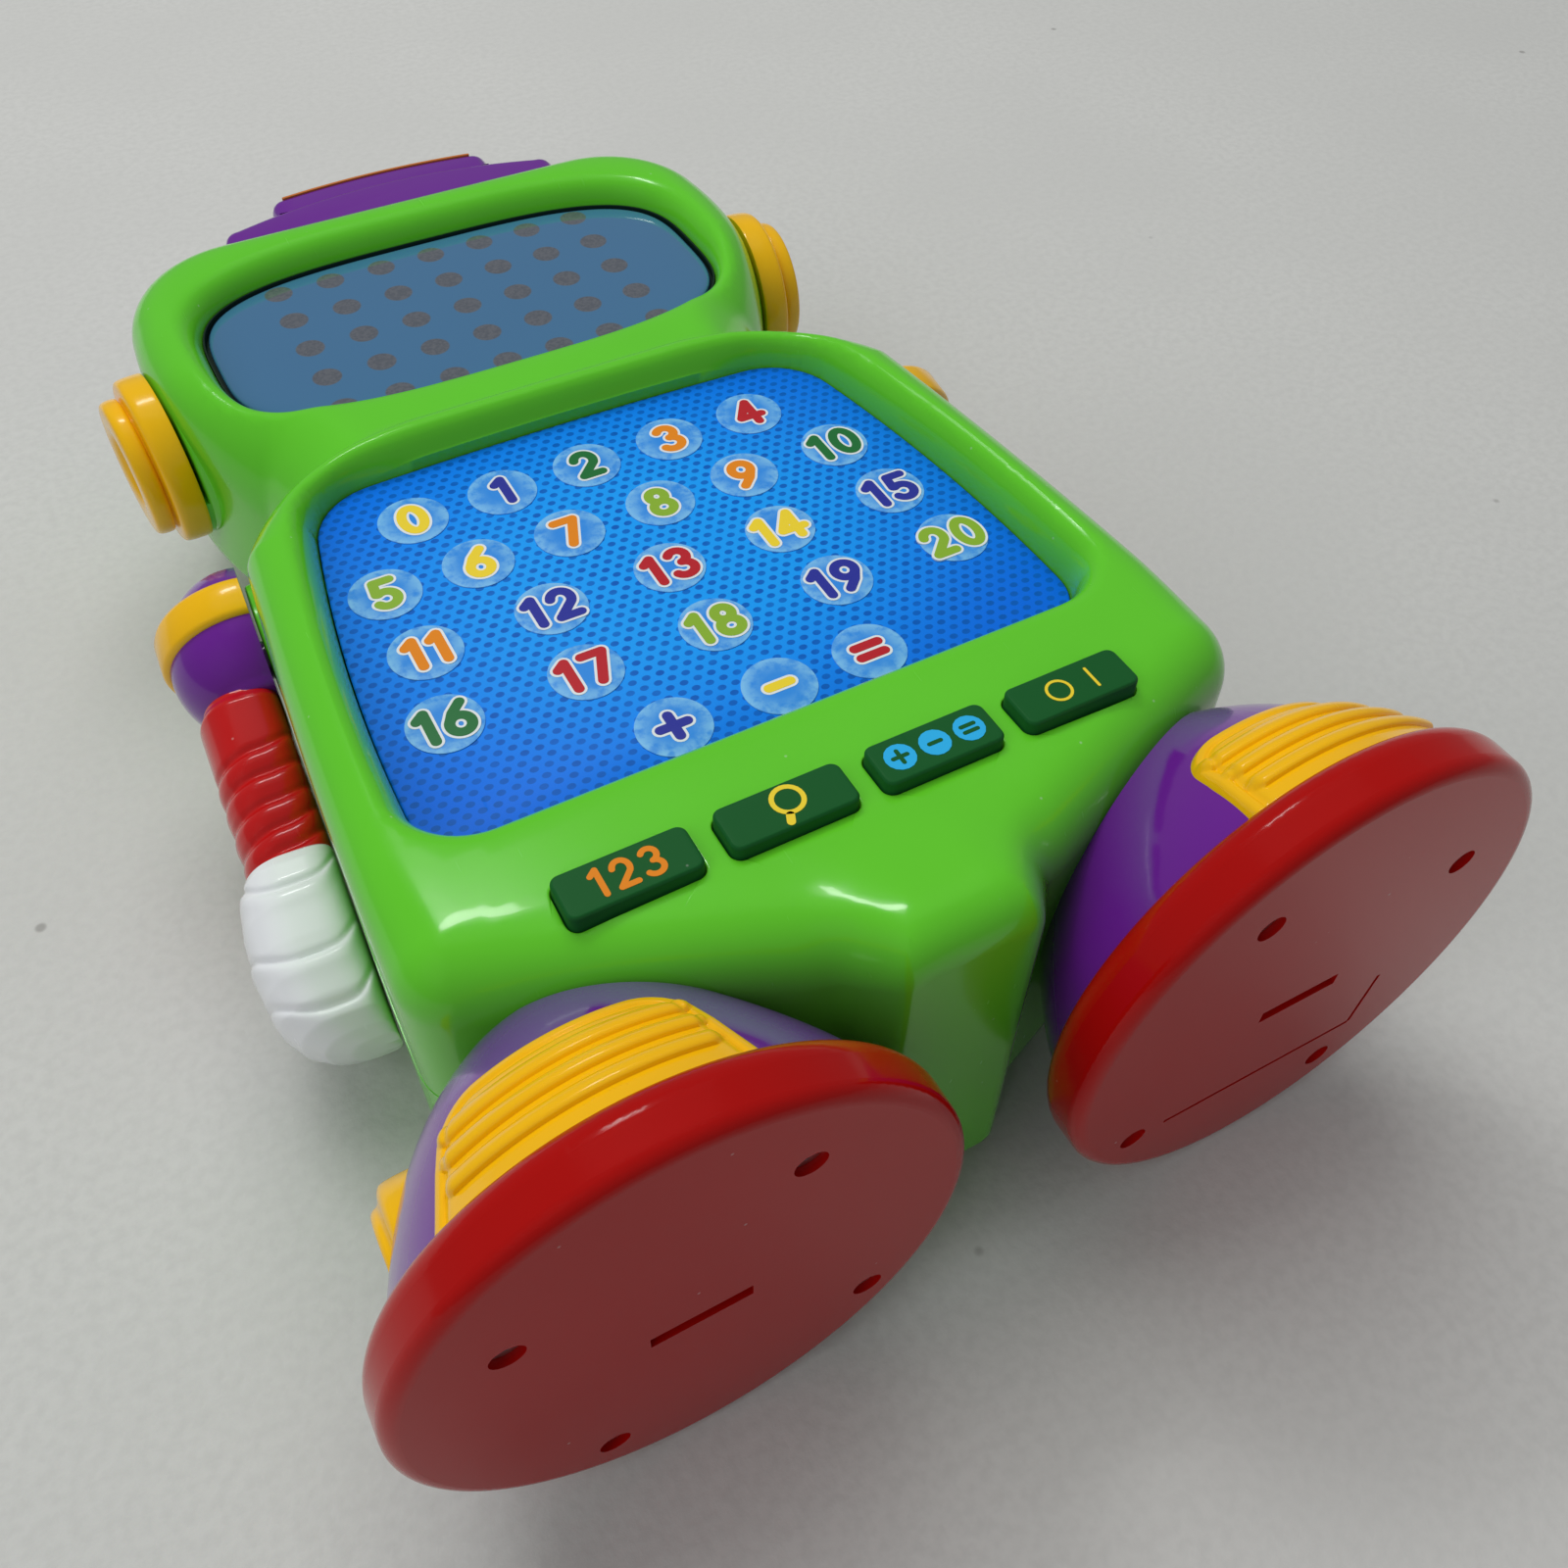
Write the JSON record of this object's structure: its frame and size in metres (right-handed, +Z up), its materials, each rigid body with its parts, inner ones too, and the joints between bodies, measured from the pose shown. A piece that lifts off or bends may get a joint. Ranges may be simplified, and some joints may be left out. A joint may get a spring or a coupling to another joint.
{
  "type": "educational toy robot",
  "caption": "Toy robot lying on its back: display window in the head, number panel and push buttons on the chest, swinging arms, big feet.",
  "frame": {"origin": "middle of the footprint on the floor, with the robot lying on its back", "axes": "+X to the image right of the face, +Y from the feet to the head, +Z up out of the chest"},
  "size_m": [0.2014, 0.2982, 0.0999],
  "materials": {
    "green_shell": "glossy moulded green",
    "window_tint": "clear tinted blue lens",
    "mask_blue": "matt dark blue",
    "circuit_board": "solder resist",
    "led_body": "clear epoxy",
    "panel_print": "printed film",
    "membrane": "clear film with printed contacts",
    "button_green": "glossy moulded dark green",
    "pad_rubber": "silicone",
    "speaker_black": "moulded frame and coated cone",
    "steel": "zinc plated",
    "cell_wrap": "plain sleeve",
    "yellow_trim": "glossy moulded yellow",
    "purple_trim": "glossy moulded purple",
    "orange_inlay": "glossy moulded orange",
    "red_trim": "glossy moulded red",
    "white_glove": "glossy moulded white"
  },
  "bodies": {
    "robot": {"front_shell": "green_shell", "back_shell": "green_shell", "display_window": "window_tint", "display_mask": "mask_blue", "display_board": "circuit_board", "display_leds": "led_body", "number_panel": "panel_print", "touch_sheet": "membrane", "button_pad": "pad_rubber", "button_board": "circuit_board", "main_board": "circuit_board", "speaker": "speaker_black", "battery_box": "green_shell", "cells": "cell_wrap", "battery_contacts": "steel", "battery_door": "green_shell", "door_screw": "steel", "shell_screws": "steel", "sole_screws": "steel", "crest_base": "purple_trim", "crest_tier": "purple_trim", "crest_inlay": "orange_inlay", "ear_left": "yellow_trim", "sole_left": "red_trim", "shoe_left": "purple_trim", "leg_left": "purple_trim", "ankle_disc_left": "yellow_trim", "toe_cap_left": "yellow_trim", "ear_right": "yellow_trim", "sole_right": "red_trim", "shoe_right": "purple_trim", "leg_right": "purple_trim", "ankle_disc_right": "yellow_trim", "toe_cap_right": "yellow_trim"},
    "arm_left": {"shoulder_axle_left": "purple_trim", "shoulder_left": "purple_trim", "shoulder_band_left": "yellow_trim", "sleeve_left": "red_trim", "glove_left": "white_glove"},
    "arm_right": {"shoulder_axle_right": "purple_trim", "shoulder_right": "purple_trim", "shoulder_band_right": "yellow_trim", "sleeve_right": "red_trim", "glove_right": "white_glove"},
    "count_button": {"count_button": "button_green"},
    "search_button": {"search_button": "button_green"},
    "sums_button": {"sums_button": "button_green"},
    "power_button": {"power_button": "button_green"}
  },
  "joints": [
    {"name": "count_button_press", "type": "slide", "parent": "robot", "child": "count_button", "axis": [0, 0, -1], "range_m": [0, 0.0012], "stiffness_N_per_m": 400, "springref_m": -0.0006},
    {"name": "search_button_press", "type": "slide", "parent": "robot", "child": "search_button", "axis": [0, 0, -1], "range_m": [0, 0.0012], "stiffness_N_per_m": 400, "springref_m": -0.0006},
    {"name": "sums_button_press", "type": "slide", "parent": "robot", "child": "sums_button", "axis": [0, 0, -1], "range_m": [0, 0.0012], "stiffness_N_per_m": 400, "springref_m": -0.0006},
    {"name": "power_button_press", "type": "slide", "parent": "robot", "child": "power_button", "axis": [0, 0, -1], "range_m": [0, 0.0012], "stiffness_N_per_m": 400, "springref_m": -0.0006},
    {"name": "shoulder_left_swing", "type": "hinge", "parent": "robot", "child": "arm_left", "pos_m": [-0.0727, 0.01225, 0.04375], "axis": [-0.9984, 0.0558, 0], "range_deg": [-10, 120]},
    {"name": "shoulder_right_swing", "type": "hinge", "parent": "robot", "child": "arm_right", "pos_m": [0.0727, 0.01225, 0.04375], "axis": [-0.9984, -0.0558, 0], "range_deg": [-10, 120]}
  ]
}
